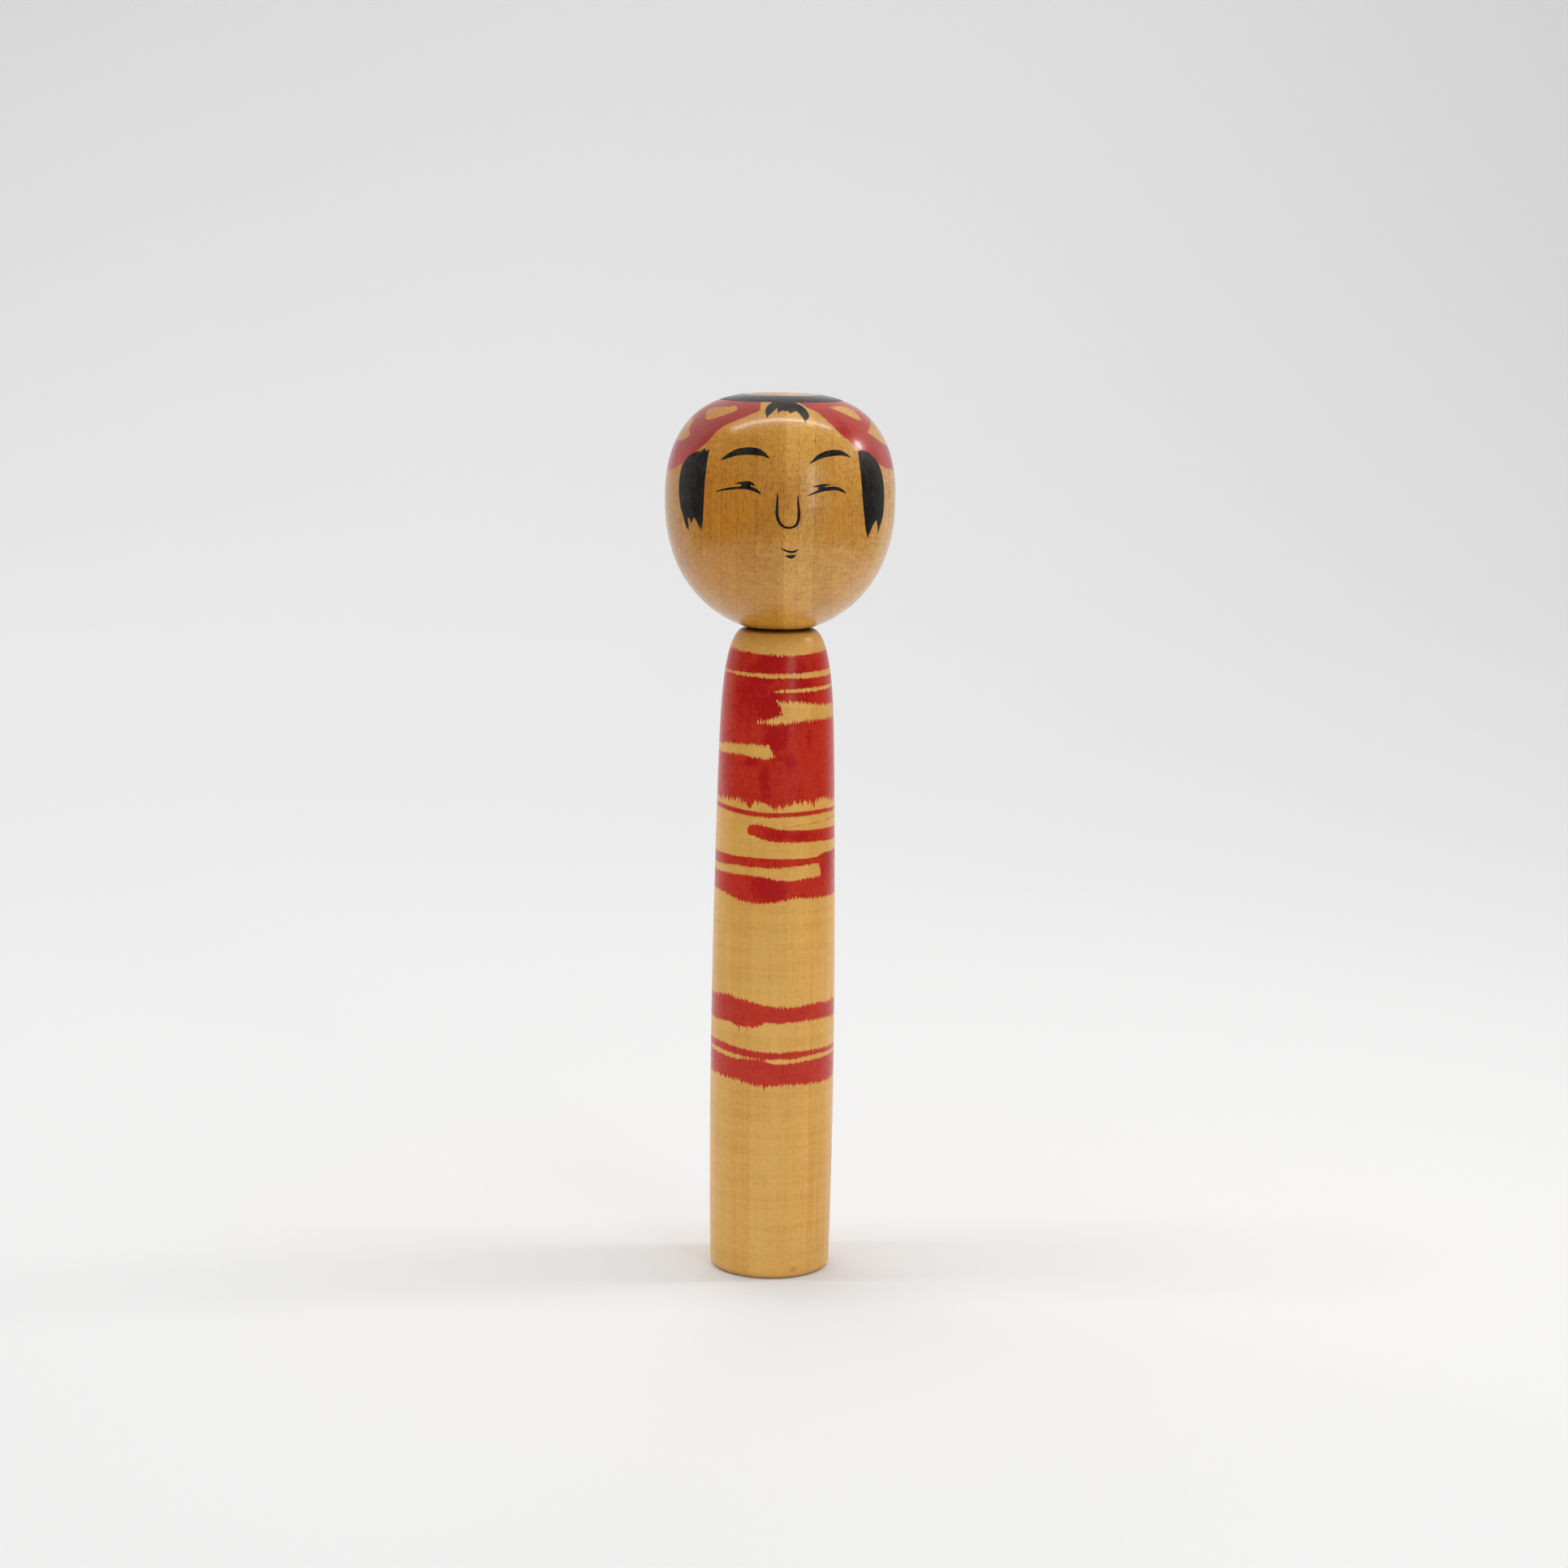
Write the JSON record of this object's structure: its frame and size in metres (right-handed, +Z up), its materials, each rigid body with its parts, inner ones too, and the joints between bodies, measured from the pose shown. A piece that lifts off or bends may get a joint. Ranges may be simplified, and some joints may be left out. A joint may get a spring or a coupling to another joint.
{
  "type": "kokeshi doll",
  "caption": "Turned wooden doll: a round head with a flat crown snaps into a slim column body and turns; free-standing on a flat base.",
  "frame": {"origin": "centre of the flat base, which rests on a table", "axes": "+Z up along the turning axis, the face looks along -Y, +X is at the viewer's right"},
  "size_m": [0.0622, 0.0622, 0.242],
  "materials": {
    "body_wood": "waxed pale hardwood with bands of soaked-in red dye",
    "head_wood": "waxed hardwood aged to amber, with red dye on the crown",
    "black_ink": "brushed black ink under wax"
  },
  "bodies": {
    "body": {"body": "body_wood"},
    "head": {"head": "head_wood"}
  },
  "joints": [
    {"name": "head_turn", "type": "hinge", "parent": "body", "child": "head", "pos_m": [0, 0, 0.1761], "axis": [0, 0, 1], "continuous": true}
  ]
}
